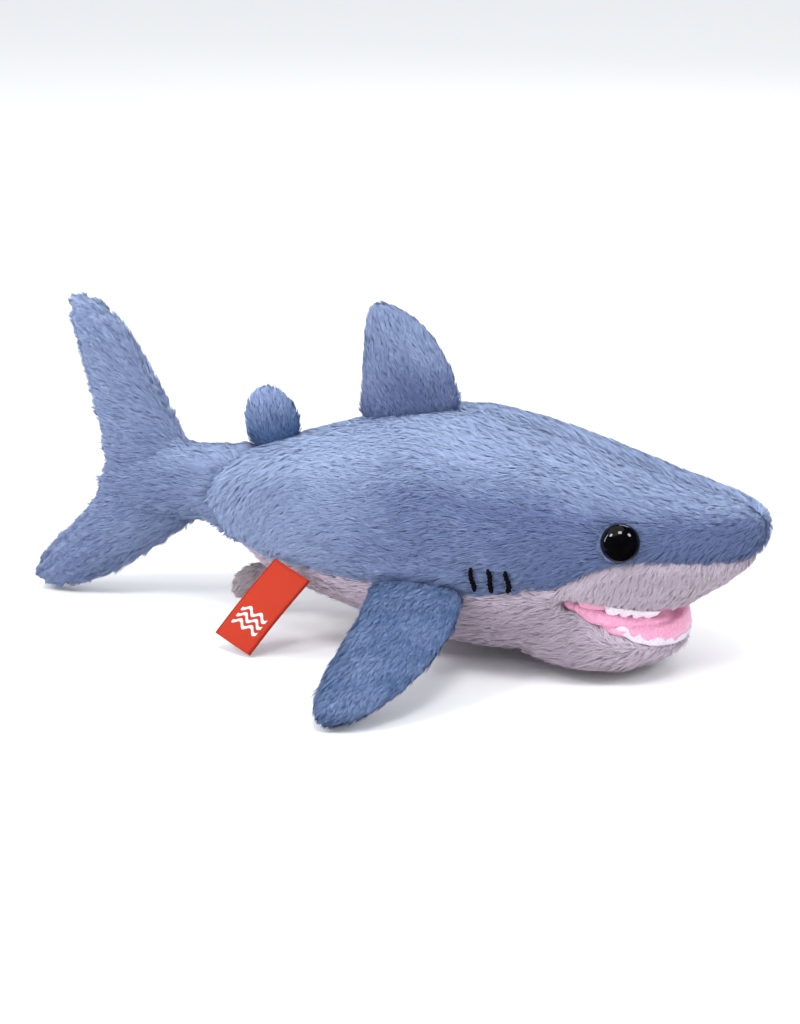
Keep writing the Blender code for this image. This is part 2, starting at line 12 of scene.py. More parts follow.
import bmesh
import bpy
import numpy as np
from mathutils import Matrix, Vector
from mathutils.bvhtree import BVHTree
from mathutils.kdtree import KDTree


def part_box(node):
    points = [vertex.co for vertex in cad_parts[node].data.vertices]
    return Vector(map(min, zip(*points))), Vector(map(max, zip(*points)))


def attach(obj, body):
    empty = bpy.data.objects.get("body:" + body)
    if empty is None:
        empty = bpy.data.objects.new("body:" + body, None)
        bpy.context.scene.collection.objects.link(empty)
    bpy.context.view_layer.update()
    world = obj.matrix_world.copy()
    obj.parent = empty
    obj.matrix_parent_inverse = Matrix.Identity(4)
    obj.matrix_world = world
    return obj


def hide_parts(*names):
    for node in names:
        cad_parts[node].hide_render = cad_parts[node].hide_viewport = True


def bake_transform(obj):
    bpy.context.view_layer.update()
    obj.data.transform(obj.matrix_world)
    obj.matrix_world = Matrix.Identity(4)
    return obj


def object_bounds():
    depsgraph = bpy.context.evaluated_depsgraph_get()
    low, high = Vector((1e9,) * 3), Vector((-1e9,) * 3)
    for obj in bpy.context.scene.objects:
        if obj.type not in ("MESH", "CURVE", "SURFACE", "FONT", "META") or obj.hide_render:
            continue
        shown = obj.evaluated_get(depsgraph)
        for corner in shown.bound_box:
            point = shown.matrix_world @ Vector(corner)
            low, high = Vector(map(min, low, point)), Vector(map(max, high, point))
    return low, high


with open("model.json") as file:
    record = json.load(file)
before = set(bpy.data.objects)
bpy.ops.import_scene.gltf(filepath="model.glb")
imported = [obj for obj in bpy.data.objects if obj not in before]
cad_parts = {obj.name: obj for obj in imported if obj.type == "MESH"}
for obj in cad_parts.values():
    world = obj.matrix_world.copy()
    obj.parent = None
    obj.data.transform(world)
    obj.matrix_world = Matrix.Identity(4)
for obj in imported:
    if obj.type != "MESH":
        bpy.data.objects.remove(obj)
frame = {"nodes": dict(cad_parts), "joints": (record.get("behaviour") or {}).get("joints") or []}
cad_low, cad_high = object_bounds()

MM = 0.001
SEED = 11
SIDES = ("left", "right")
FORWARD = Vector((1, 0, 0))
UP = Vector((0, 0, 1))

# Places read from the frame
JOINTS = {joint["name"]: joint for joint in frame["joints"]}
JAW_HINGE = Vector(JOINTS["jaw_squeeze"]["pos_m"])
TAIL_HINGE = Vector(JOINTS["tail_swing"]["pos_m"])
EYE_LOW, EYE_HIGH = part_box("eye_right")
NOSE_STITCH = np.array((cad_high.x - 4 * MM, 0, EYE_HIGH.z))
RUFFLE = np.array((EYE_HIGH.x + 13 * MM, EYE_HIGH.y, EYE_LOW.z))
TAIL_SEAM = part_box("tail_panel_right")[1].x
TAIL_MIDDLE = np.array((TAIL_SEAM + 4 * MM, 0, TAIL_HINGE.z + 3 * MM))
LIP_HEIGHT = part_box("lower_teeth")[1].z

# Cloth
PILE_DEPTH = 1.4 * MM  # how far the knitted backing lies under the tips of the pile
BODY_VOXEL = 1.5 * MM
SOCKET_FILL = 1.4 * MM  # a little more than the clearance round a fin's root
SEAM_WIDTH = 1.6 * MM
SEAM_DEPTH = 1.0 * MM
STITCH_DEPTH = 0.9 * MM  # of the dimple where the panels are gathered at the nose
PRESSURE = 4.0
SIM_FRAMES = 20
MAX_SWELL = 1.2 * MM

# Small pieces
EYE_HEIGHT = 3.6 * MM
EYE_RINGS = 15
GILL_BITES = 6
THREAD_RADIUS = 0.56 * MM
THREAD_PITCH = 1.6 * MM
LIP_POINTS = 14  # felt points on a half turn of the lower lip
RIBBON_ACROSS = 12
RIBBON_DOWN = 24
RIBBON_THICKNESS = 0.22 * MM

# Pile
DENSITY = 12.0  # strands to a square millimetre
MOST_STRANDS = 66000  # in one piece, which keeps its mesh under 200,000 triangles
STRAND_WIDTH = 0.18 * MM
STRAND_STEPS = (0.0, 0.5, 1.0)
STRAND_WIDTHS = (0.8, 1.0, 0.0)  # at each step, as shares of the width
LOCK_STRANDS = 9
GATHER = 0.33  # how far the strands of a lock are drawn to its middle
RISE = 0.22  # how high a strand's tip stands, as a share of its length
FIN_STRAND = 2.3 * MM
FLOOR_GAP = 0.15 * MM  # the least height of a strand over the ground
UV_NAME = "OFBake"  # across the map: a strand's shade, up it: from root to tip
MAP_HALF_WIDTH = 0.006  # of one strand

# Colours of the pile in its dark and light strands, and of the knitted backing under it. Whether a strand
# comes out dark or light follows its own random tone together with painted light and shade
PILES = {
    "blue_pile": ((0.12, 0.16, 0.315), (0.33, 0.415, 0.62)),
    "deep_blue_pile": ((0.06, 0.115, 0.26), (0.30, 0.39, 0.62)),
    "grey_pile": ((0.40, 0.33, 0.41), (0.67, 0.565, 0.67)),
    "pale_grey_pile": ((0.43, 0.36, 0.43), (0.61, 0.52, 0.61)),
    # painted shade: a darker copy of the grey pile, for the anal fin, which lies in shade under the body
    "shaded_grey_pile": ((0.25, 0.21, 0.235), (0.47, 0.40, 0.43)),
}
# the backings are painted darker than the pile: painted shade under the strands
BACKINGS = {
    "blue_backing": (0.26, 0.34, 0.60),
    "grey_backing": (0.58, 0.51, 0.60),
    # painted shade: a darker copy of the grey backing, for the anal fin in shade under the body
    "shaded_grey_backing": (0.36, 0.31, 0.35),
}

# Plain materials: colour, roughness, fineness of the grain, sheen
GRAINED = {
    "pink_lining": ((0.76, 0.32, 0.49), 0.9, 1500.0, 0.4),
    "white_felt": ((0.76, 0.68, 0.76), 0.95, 2500.0, 0.3),
    "lip_felt": ((0.66, 0.58, 0.67), 0.95, 2500.0, 0.3),
    "black_thread": ((0.004, 0.004, 0.006), 0.9, 4000.0, 0.0),
    "washer_plastic": ((0.8, 0.8, 0.78), 0.4, 800.0, 0.0),
}

# Stage. Angles are in degrees; azimuth 0 is the toy's right side, and 90 its nose.
FLOOR_HALF = 3.0
FLOOR_HEIGHT = -0.4 * MM
CAMERA_TURN = (20, 18)  # azimuth and elevation
CAMERA_DISTANCE = 0.600
CAMERA_LENS = 78.9
CAMERA_AIM = Vector((2.8, 9.2, -14.2)) * MM  # from the middle of the CAD box

# Lamps, a metre away: azimuth, elevation, width, height, power
LAMPS = {
    "left_lamp": (-40, 42, 0.22, 0.22, 3.0),
    "top_lamp": (25, 62, 0.26, 0.26, 3.4),
    "front_lamp": (80, 38, 0.22, 0.22, 2.4),
    "strip": (-70, 18, 0.05, 0.6, 2.6),
    "back_lamp": (175, 38, 0.5, 0.5, 2.6),
    "fill": (50, 6, 1.0, 1.0, 1.6),
}

# The parts of the skin and the CAD panels that each covers
REGIONS = {
    "back_left": ["back_panel_left"],
    "back_right": ["back_panel_right"],
    "belly": ["belly_panel", "lower_jaw_panel"],
    "snout": ["snout_panel"],
    "tail_left": ["tail_panel_left"],
    "tail_right": ["tail_panel_right"],
    "mouth": ["palate_lining", "tongue_lining"],
}
BODY_NODES = [node for name, nodes in REGIONS.items() if name != "mouth" for node in nodes]
BODY_NODES += ["body_stuffing", "jaw_stuffing", "tail_stuffing"]

# spread: how much wider than its CAD panels along the hinge; shades: at the root and at the tip, painted
# darker at the root where the body shades the fin and lighter out at the tip
Fin = namedtuple("Fin", "body joint spread root_shade tip_shade pile backing slot")
FINS = {
    "dorsal": Fin("dorsal_fin", "dorsal_flop", 1.02, 0.05, 0.65, "blue_pile", "blue_backing", "blue_plush"),
    "second_dorsal": Fin("rear_dorsal_fin", "second_dorsal_flop", 1.15, 0.0, 1.0,
                         "deep_blue_pile", "blue_backing", "blue_plush"),
    # the anal fin's darker grey is painted shade: the belly's grey, darkened as it lies in shade under the
    # body
    "anal_fin": Fin("under_tail_fin", "anal_fin_flop", 1.1, 0.2, 0.6,
                    "shaded_grey_pile", "shaded_grey_backing", "dark_grey_plush"),
    "pectoral_left": Fin("left_pectoral_fin", "pectoral_left_flap", 1.12, 0.22, 0.3,
                         "deep_blue_pile", "blue_backing", "blue_plush"),
    "pectoral_right": Fin("right_pectoral_fin", "pectoral_right_flap", 1.12, 0.22, 0.3,
                          "deep_blue_pile", "blue_backing", "blue_plush"),
}


# ---------------- mesh tools

def new_object(name, data):
    made = bpy.data.objects.new(name, data)
    bpy.context.scene.collection.objects.link(made)
    return made


def mesh_of(name, shape):
    """A mesh made from a bmesh, which is then freed."""
    mesh = bpy.data.meshes.new(name)
    shape.to_mesh(mesh)
    shape.free()
    return mesh


def cad_copy(name, nodes, extra=()):
    """One mesh object holding copies of CAD nodes, and any extra bmesh geometry."""
    shape = bmesh.new()
    for node in nodes:
        shape.from_mesh(frame["nodes"][node].data)
    for mesh in extra:
        shape.from_mesh(mesh)
    return new_object(name, mesh_of(name, shape))


def bake_modifiers(made):
    """Turns an object's modifiers into its mesh."""
    evaluated = made.evaluated_get(bpy.context.evaluated_depsgraph_get())
    mesh = bpy.data.meshes.new_from_object(evaluated)
    made.modifiers.clear()
    made.data = mesh
    return made


def remeshed(made, voxel, smoothing):
    remesh = made.modifiers.new("remesh", "REMESH")
    remesh.mode = "VOXEL"
    remesh.voxel_size = voxel
    smooth = made.modifiers.new("smooth", "SMOOTH")
    smooth.factor = 0.5
    smooth.iterations = smoothing
    return bake_modifiers(made)


def points_of(mesh):
    flat = np.empty(len(mesh.vertices) * 3, np.float32)
    mesh.vertices.foreach_get("co", flat)
    return flat.reshape(-1, 3).astype(float)


def normals_of(mesh):
    flat = np.empty(len(mesh.vertices) * 3, np.float32)
    mesh.vertices.foreach_get("normal", flat)
    return flat.reshape(-1, 3).astype(float)


def set_points(mesh, points):
    mesh.vertices.foreach_set("co", points.astype(np.float32).ravel())
    mesh.update()


def unit(vectors):
    length = np.linalg.norm(vectors, axis=-1, keepdims=True)
    return vectors / np.maximum(length, 1e-12)


def smoothstep(low, high, value):
    t = np.clip((value - low) / (high - low), 0, 1)
    return t * t * (3 - 2 * t)


def ripple(points, wavelength, phase=0.0):
    """A smooth random-looking field in -1 to 1, made of crossed waves."""
    p = points * (math.tau / wavelength)
    field = np.sin(p @ np.array((0.9, 0.35, 0.25)) + phase)
    field = field + np.sin(p @ np.array((-0.3, 1.1, 0.5)) * 1.3 + 2.1 * phase + 1.0)
    field = field + np.sin(p @ np.array((0.45, -0.6, 1.2)) * 0.8 + 0.7 * phase + 2.0)
    return field / 3


def tree_of(nodes):
    """A nearest-point tree over the surfaces of some CAD nodes."""
    corners, faces = [], []
    for node in nodes:
        mesh = frame["nodes"][node].data
        start = len(corners)
        corners += [vertex.co.copy() for vertex in mesh.vertices]
        faces += [[start + i for i in face.vertices] for face in mesh.polygons]
    return BVHTree.FromPolygons(corners, faces)


def distances(tree, points):
    return np.array([tree.find_nearest(Vector(point))[3] for point in points])


def distance_to(place, points):
    return np.linalg.norm(points - place, axis=1)


# ---------------- cloth skins

def throat_fill():
    """The cloth between throat and jaw, which the CAD leaves open for the hinge to move in."""
    shape = bmesh.new()
    reach = 9 * MM
    ceiling = JAW_HINGE.z - 4 * MM
    for node in ("belly_panel", "lower_jaw_panel"):
        for vertex in frame["nodes"][node].data.vertices:
            if abs(vertex.co.x - JAW_HINGE.x + 2 * MM) < reach and vertex.co.z < ceiling:
                shape.verts.new(vertex.co)
    return hull_mesh("throat_fill", shape)


def fin_frame(joint, nodes):
    """A fin's root and the way out from it, square to its hinge and along its length."""
    root = Vector(JOINTS[joint]["pos_m"])
    axis = Vector(JOINTS[joint]["axis"]).normalized()
    corners = [vertex.co for node in nodes for vertex in frame["nodes"][node].data.vertices]
    tip = max(corners, key=lambda corner: (corner - root).length)
    way = (tip - root).normalized()
    out = (way - axis * way.dot(axis)).normalized()
    return root, axis, way, out


def pinched(points, root, axis, out, spread):
    """Draws a fin's root flat, as its seam does, and spreads the fin along its hinge."""
    root, axis, out = np.array(root), np.array(axis), np.array(out)
    flat = np.cross(axis, out)
    local = points - root
    near = 1 - smoothstep(-1 * MM, 9 * MM, local @ out)
    thick = (local @ flat) * (-0.4 * near)
    wide = (local @ axis) * (spread - 1)
    return points + thick[:, None] * flat + wide[:, None] * axis


def root_plug(joint, nodes):
    """Fills the socket that the CAD leaves round a fin's root, so that the skin runs on under the fin."""
    root, axis, _, out = fin_frame(joint, nodes)
    shape = bmesh.new()
    for node in nodes:
        for vertex in frame["nodes"][node].data.vertices:
            depth = (vertex.co - root).dot(out)
            if depth < 0.2 * MM:
                from_axis = vertex.co - root - axis * (vertex.co - root).dot(axis) - out * depth
                grown = vertex.co + from_axis.normalized() * SOCKET_FILL
                grown += axis * math.copysign(SOCKET_FILL, (vertex.co - root).dot(axis))
                shape.verts.new(grown - out * 0.8 * MM)
    return hull_mesh("root_plug", shape)


def hull_mesh(name, shape):
    """The convex hull of a bmesh's points, as a mesh."""
    hull = bmesh.ops.convex_hull(shape, input=shape.verts)
    bmesh.ops.delete(shape, geom=hull["geom_interior"], context="VERTS")
    return mesh_of(name, shape)


def inflate(made, pinned):
    """Swells a skin between its pinned seams by a short cloth simulation, and applies the result."""
    rest = points_of(made.data)
    scene = bpy.context.scene
    group = made.vertex_groups.new(name="seams")
    for index, weight in enumerate(pinned):
        if weight > 0:
            group.add([index], float(weight), "REPLACE")
    cloth = made.modifiers.new("inflate", "CLOTH")
    cloth.settings.quality = 4
    cloth.settings.use_pressure = True
    cloth.settings.uniform_pressure_force = PRESSURE
    cloth.settings.vertex_group_mass = "seams"
    cloth.settings.effector_weights.gravity = 0
    cloth.collision_settings.use_collision = False
    cloth.collision_settings.use_self_collision = False
    for step in range(1, SIM_FRAMES + 1):
        scene.frame_set(step)
    bake_modifiers(made)
    scene.frame_set(1)
    moved = points_of(made.data) - rest
    length = np.linalg.norm(moved, axis=1, keepdims=True)
    set_points(made.data, rest + moved * np.minimum(1, MAX_SWELL / np.maximum(length, 1e-9)))
    return made


def fin_nodes(name):
    return [node for node in frame["nodes"] if node.startswith(name + "_")]


def body_skin():
    """The whole stuffed body, jaw and tail in one skin, and each point's distance from each region."""
    fillers = [throat_fill()] + [root_plug(fin.joint, fin_nodes(name)) for name, fin in FINS.items()]
    skin = remeshed(cad_copy("body_skin", BODY_NODES, fillers), BODY_VOXEL, 3)
    trees = {name: tree_of(nodes) for name, nodes in REGIONS.items()}
    away = {name: distances(tree, points_of(skin.data)) for name, tree in trees.items()}
    seams = seam_distance(away)
    mouth = smoothstep(1 * MM, 7 * MM, away["mouth"])
    inflate(skin, np.clip(1.2 - seams / SEAM_WIDTH, 0, 1) + (mouth < 0.3))
    points = points_of(skin.data)
    tail = np.minimum(away["tail_left"], away["tail_right"]) < 0.1 * MM
    tips = smoothstep(36 * MM, 62 * MM, distance_to(TAIL_MIDDLE, points))
    depth = PILE_DEPTH * (0.25 + 0.75 * mouth) * np.where(tail, 0.7 - 0.5 * tips, 1.0)
    depth = depth + STITCH_DEPTH * (1 - smoothstep(0.5 * MM, 5 * MM, distance_to(NOSE_STITCH, points)))
    pressed = SEAM_DEPTH * (1 - smoothstep(0, SEAM_WIDTH * 1.5, seams)) * mouth
    depth = depth + pressed * np.where(tail, 0.1, 1.0)
    set_points(skin.data, points - normals_of(skin.data) * depth[:, None])
    return skin, away


def seam_distance(away):
    """How far each point lies from the nearest seam: from the region that comes second nearest."""
    cloth = np.array([away[name] for name in away if name != "mouth"])
    return np.sort(cloth, axis=0)[1]


def region_of(away):
    names = list(away)
    return np.array(names)[np.argmin(np.array([away[name] for name in names]), axis=0)]


def part_of_skin(name, skin, keep):
    """A copy of the faces of a skin whose points are all, or partly, kept."""
    shape = bmesh.new()
    shape.from_mesh(skin.data)
    shape.verts.ensure_lookup_table()
    gone = [face for face in shape.faces if not any(keep[v.index] for v in face.verts)]
    bmesh.ops.delete(shape, geom=gone, context="FACES")
    mesh = mesh_of(name, shape)
    mesh.shade_smooth()
    return new_object(name, mesh)


def fin_skin(name, nodes, voxel, depth):
    skin = remeshed(cad_copy(name, nodes), voxel, 3)
    set_points(skin.data, points_of(skin.data) - normals_of(skin.data) * depth)
    skin.data.shade_smooth()
    return skin


# ---------------- pile

class Spread:
    """Random points spread evenly over the kept part of a skin, and values read from its vertices."""

    def __init__(self, skin, keep, density, rng):
        mesh = skin.data
        mesh.calc_loop_triangles()
        flat = np.empty(len(mesh.loop_triangles) * 3, np.int32)
        mesh.loop_triangles.foreach_get("vertices", flat)
        corners = flat.reshape(-1, 3)
        corners = corners[keep[corners].all(axis=1)]
        points = points_of(mesh)
        a, b, c = (points[corners[:, i]] for i in range(3))
        area = np.linalg.norm(np.cross(b - a, c - a), axis=1) / 2
        count = int(density * area.sum() / MM**2)
        split = np.sort(rng.random((count, 2)), axis=1)
        self.corners = corners[rng.choice(len(corners), count, p=area / area.sum())]
        self.weights = np.stack((split[:, 0], split[:, 1] - split[:, 0], 1 - split[:, 1]), axis=1)
        self.at = self.read(points)
        self.facing = unit(self.read(normals_of(mesh)))

    def read(self, values):
        """A value held at the skin's vertices, read at every point."""
        return np.einsum("nk,nk...->n...", self.weights, values[self.corners])

    def thin(self, keep):
        for name in ("corners", "weights", "at", "facing"):
            setattr(self, name, getattr(self, name)[keep])


def nearest_clumps(points, members, rng):
    """Shares the points out between clumps of about so many: each point's clump, and the centres."""
    centres = points[rng.choice(len(points), max(4, len(points) // members), replace=False)]
    tree = KDTree(len(centres))
    for index, centre in enumerate(centres):
        tree.insert(Vector(centre), index)
    tree.balance()
    return np.array([tree.find(Vector(point))[1] for point in points]), centres


def across_slope(vectors, facing):
    """The part of each vector that lies in the cloth."""
    return vectors - facing * np.sum(vectors * facing, axis=1, keepdims=True)


def grow(name, spread, nap, shade, rng, length):
    """A pile of tapering strands that lie along the nap, drawn together into locks."""
    at, facing = spread.at, spread.facing
    count = len(at)
    clump, centres = nearest_clumps(at, LOCK_STRANDS, rng)
    clumps = len(centres)
    along = unit(across_slope(nap, facing))
    turn = rng.normal(0, 0.17, clumps)[clump] + rng.normal(0, 0.1, count)
    across = np.cross(facing, along)
    along = along * np.cos(turn)[:, None] + across * np.sin(turn)[:, None]
    across = np.cross(facing, along)
    long = length * (1 + rng.normal(0, 0.1, count)) * (1 + rng.normal(0, 0.12, clumps)[clump])
    uneven = 1 + rng.normal(0, 0.24, clumps)[clump] + rng.normal(0, 0.15, count)
    lift = RISE * long * np.clip(uneven, 0.3, 2)
    aim = across * np.sum((centres[clump] - at) * across, axis=1, keepdims=True)
    roll = rng.normal(0, 0.25, count)
    wide = across * np.cos(roll)[:, None] + facing * np.sin(roll)[:, None]
    wide = wide * (STRAND_WIDTH * (1 + rng.normal(0, 0.15, count)))[:, None] / 2
    points, normals = [], []
    for step, share in zip(STRAND_STEPS, STRAND_WIDTHS):
        centre = at + along * (long * step)[:, None] + facing * (lift * (1 - (1 - step) ** 2))[:, None]
        centre = centre + aim * (GATHER * step)
        lean = facing + along * (0.5 * step - 0.15)
        for side in (-1, 1) if share else (0,):
            points.append(centre + side * wide * share)
            normals.append(unit(lean + 0.35 * side * across))
    points = np.stack(points, axis=1).reshape(-1, 3)
    points[:, 2] = np.maximum(points[:, 2], FLOOR_GAP)
    tone = shade + rng.normal(0, 0.08, clumps)[clump] + rng.normal(0, 0.07, count)
    return strand_mesh(name, points, np.stack(normals, axis=1).reshape(-1, 3), np.clip(tone, 0.02, 0.98))


def strand_mesh(name, points, normals, tone):
    """Joins each strand's points into quads and a last triangle, and lays the shade map over them."""
    count = len(tone)
    quads = len(STRAND_WIDTHS) - 2
    per_strand = 2 * quads + 3
    pattern = []
    for i in range(quads):
        pattern += [2 * i, 2 * i + 2, 2 * i + 3, 2 * i + 1]
    pattern = np.array(pattern + [2 * quads, 2 * quads + 2, 2 * quads + 1])
    loops = np.arange(count)[:, None] * per_strand + pattern
    sizes = np.tile([4] * quads + [3], count)
    mesh = bpy.data.meshes.new(name)
    mesh.vertices.add(len(points))
    mesh.vertices.foreach_set("co", points.astype(np.float32).ravel())
    mesh.loops.add(loops.size)
    mesh.loops.foreach_set("vertex_index", loops.astype(np.int32).ravel())
    mesh.polygons.add(len(sizes))
    mesh.polygons.foreach_set("loop_start", (np.cumsum(sizes) - sizes).astype(np.int32))
    mesh.update(calc_edges=True)
    mesh.shade_smooth()
    side = np.where(np.arange(per_strand) % 2, MAP_HALF_WIDTH, -MAP_HALF_WIDTH)
    side[-1] = 0
    up = np.append(np.repeat(STRAND_STEPS[:-1], 2), 1.0)
    across = tone[:, None] + side[pattern]
    along = np.broadcast_to(0.01 + 0.98 * up[pattern], across.shape)
    uv = mesh.uv_layers.new(name=UV_NAME)
    uv.data.foreach_set("uv", np.stack((across, along), axis=2).astype(np.float32).ravel())
    mesh.normals_split_custom_set_from_vertices(normals)
    return new_object(name, mesh)


def ruffle(at):
    """1 in the brushed patch between eye and nose, fading to 0 around it."""
    return np.exp(-np.sum((at - RUFFLE) ** 2, axis=1) / (8 * MM) ** 2)


# The naps: how the pile lies at points of a cloth that faces some way

def body_nap(at, facing):
    """Back along the body: it parts at the nose, drops towards the belly and hangs at the tail seam."""
    from_nose = at - NOSE_STITCH
    spread = unit(from_nose) * np.exp(-np.linalg.norm(from_nose, axis=1, keepdims=True) / (9 * MM))
    drop = 0.1 + 1.3 * smoothstep(TAIL_SEAM + 24 * MM, TAIL_SEAM + 8 * MM, at[:, 0])
    nap = np.zeros_like(at)
    nap[:, 0] = -1
    nap[:, 1] = 0.2 * ripple(at, 40 * MM, 3.0)
    nap[:, 2] = 0.35 * ripple(at, 26 * MM) - drop
    nap[:, 2] -= 1.2 * ruffle(at)
    ridge = np.exp(-((at[:, 1] / (2.2 * MM)) ** 2)) * (facing[:, 2] > 0.3)
    nap[:, 1] += 0.8 * np.sign(at[:, 1]) * ridge
    return nap + 2.0 * spread


def tail_nap(at, facing):
    """From the narrow of the tail out along each lobe, turning aside over its rounded end."""
    end = smoothstep(58 * MM, 78 * MM, distance_to(TAIL_MIDDLE, at))[:, None]
    out = unit((at - TAIL_MIDDLE) * (1, 0, 1))
    aside = np.cross(out, (0, 1, 0))
    return out + (-0.2, 0, 0) + 0.8 * end * aside


def snout_nap(at, facing):
    """Back and down from the seam, to hang over the lip."""
    return np.broadcast_to((-0.55, 0, -1), at.shape)


def belly_nap(at, facing):
    """Back along the belly, and up over the lip at the front of the jaw."""
    on_jaw = smoothstep(JAW_HINGE.x + 2 * MM, JAW_HINGE.x + 9 * MM, at[:, 0])
    up = on_jaw * smoothstep(LIP_HEIGHT - 8 * MM, LIP_HEIGHT, at[:, 2])
    nap = np.zeros_like(at)
    nap[:, 0] = -1 + 0.6 * up
    nap[:, 2] = 0.3 * ripple(at, 24 * MM, 5.0) - 0.1 + 1.3 * up
    return nap


def clear_of_gills(at):
    """True where a strand would not start under a gill thread or lie over it."""
    clear = np.ones(len(at), bool)
    for node in frame["nodes"]:
        if node.startswith("gill_stitch"):
            low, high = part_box(node)
            beside = (at[:, 0] > low.x) & (at[:, 0] < high.x + 1.6 * MM) & (at[:, 1] * low.y > 0)
            slant = (high.x - low.x - 1.2 * MM) * (high.z - at[:, 2]) / (high.z - low.z)
            beside &= (at[:, 0] > low.x + slant) & (at[:, 0] < low.x + slant + 2.4 * MM)
            clear &= ~(beside & (at[:, 2] > low.z) & (at[:, 2] < high.z))
    return clear


def clear_of_eyes(at):
    """True where a strand would not start under an eye."""
    clear = np.ones(len(at), bool)
    for side in SIDES:
        centre, _, radius = eye_place(side)
        clear &= distance_to(np.array(centre), at) > radius + 0.3 * MM
    return clear


# ---------------- materials

def new_material(name, roughness, sheen=0.0, sheen_roughness=0.5):
    material = bpy.data.materials.new(name)
    material.use_nodes = True
    shader = material.node_tree.nodes["Principled BSDF"]
    shader.inputs["Roughness"].default_value = roughness
    shader.inputs["Sheen Weight"].default_value = sheen
    shader.inputs["Sheen Roughness"].default_value = sheen_roughness
    shader.inputs["Specular IOR Level"].default_value = 0.25
    return material, shader


def add_node(material, kind, **values):
    made = material.node_tree.nodes.new(kind)
    for name, value in values.items():
        if name in made.inputs:
            made.inputs[name].default_value = value
        else:
            setattr(made, name, value)
    return made


def link(material, source, target):
    material.node_tree.links.new(source, target)


def ramp(material, source, stops):
    made = material.node_tree.nodes.new("ShaderNodeValToRGB")
    elements = made.color_ramp.elements
    while len(elements) < len(stops):
        elements.new(0.5)
    for element, (place, colour) in zip(elements, stops):
        element.position = place
        element.color = (*colour, 1)
    link(material, source, made.inputs[0])
    return made.outputs[0]


def scaled(colour, factor):
    return tuple(min(1, channel * factor) for channel in colour)


def pile_material(name, dark, light):
    """Fibre: its shade runs from dark to light across the map, and it brightens from root to tip: painted
    shade darkens the roots, where the strands shade each other.
    """
    material, shader = new_material(name, 0.85, 0.25, 0.4)
    shader.inputs["Sheen Tint"].default_value = (*scaled(light, 1.6), 1)
    uv = add_node(material, "ShaderNodeUVMap", uv_map=UV_NAME)
    split = material.node_tree.nodes.new("ShaderNodeSeparateXYZ")
    link(material, uv.outputs[0], split.inputs[0])
    middle = tuple((a + b) / 2 for a, b in zip(dark, light))
    hue = ramp(material, split.outputs["X"], ((0.05, dark), (0.5, middle), (0.95, light)))
    # painted shade: darker at the root, where the strands shade each other
    tip = ramp(material, split.outputs["Y"], ((0, (0.76,) * 3), (0.4, (0.93,) * 3), (1, (1.0,) * 3)))
    mix = material.node_tree.nodes.new("ShaderNodeMix")
    mix.data_type = "RGBA"
    mix.blend_type = "MULTIPLY"
    mix.inputs["Factor"].default_value = 1
    link(material, hue, mix.inputs[6])
    link(material, tip, mix.inputs[7])
    link(material, mix.outputs[2], shader.inputs["Base Color"])
    return material


def backing_material(name, colour):
    """Knitted backing under the pile: rows of fine loops, painted darker as the shade under the strands."""
    material, shader = new_material(name, 0.95, 0.1)
    place = add_node(material, "ShaderNodeTexCoord")
    noise = add_node(material, "ShaderNodeTexNoise", Scale=900.0, Detail=3.0)
    link(material, place.outputs["Object"], noise.inputs["Vector"])
    # painted shade: the backing darkened as the pile shades it; the loops of the knit are its own texture
    dark, light = scaled(colour, 0.45), scaled(colour, 0.85)
    knit = ramp(material, noise.outputs[0], ((0.3, dark), (0.7, light)))
    link(material, knit, shader.inputs["Base Color"])
    bump = add_node(material, "ShaderNodeBump", Strength=0.6, Distance=0.0003)
    link(material, noise.outputs[0], bump.inputs["Height"])
    link(material, bump.outputs[0], shader.inputs["Normal"])
    return material


def grained_material(name, colour, roughness, scale, sheen):
    """A plain material with fine grain: felt, lining, thread, moulded plastic."""
    material, shader = new_material(name, roughness, sheen)
    place = add_node(material, "ShaderNodeTexCoord")
    noise = add_node(material, "ShaderNodeTexNoise", Scale=scale, Detail=4.0)
    link(material, place.outputs["Object"], noise.inputs["Vector"])
    stops = ((0.3, scaled(colour, 0.82)), (0.7, scaled(colour, 1.12)))
    link(material, ramp(material, noise.outputs[0], stops), shader.inputs["Base Color"])
    bump = add_node(material, "ShaderNodeBump", Strength=0.5, Distance=0.0002)
    link(material, noise.outputs[0], bump.inputs["Height"])
    link(material, bump.outputs[0], shader.inputs["Normal"])
    return material


def combine(material, kind, first, second=0):
    """A Math node of one or two inputs, each a socket or a number."""
    made = material.node_tree.nodes.new("ShaderNodeMath")
    made.operation = kind
    for slot, value in zip(made.inputs, (first, second)):
        if isinstance(value, (int, float)):
            slot.default_value = value
        else:
            link(material, value, slot)
    return made.outputs[0]


def waves_motif(material, across, along, edge):
    """1 on three short waves across each face of the folded ribbon, and 0 around them."""
    swell = combine(material, "SINE", combine(material, "MULTIPLY", across, 21))
    swell = combine(material, "MULTIPLY", swell, 0.025)
    height = combine(material, "ADD", combine(material, "MULTIPLY", along, 2), swell)
    from_middle = combine(material, "SUBTRACT", combine(material, "PINGPONG", height, 1), 0.62)
    band = combine(material, "LESS_THAN", combine(material, "ABSOLUTE", from_middle), 0.11)
    rows = combine(material, "SINE", combine(material, "MULTIPLY", height, 85))
    lines = combine(material, "GREATER_THAN", rows, 0.1)
    inside = combine(material, "LESS_THAN", edge, 0.34)
    return combine(material, "MULTIPLY", combine(material, "MULTIPLY", band, lines), inside)


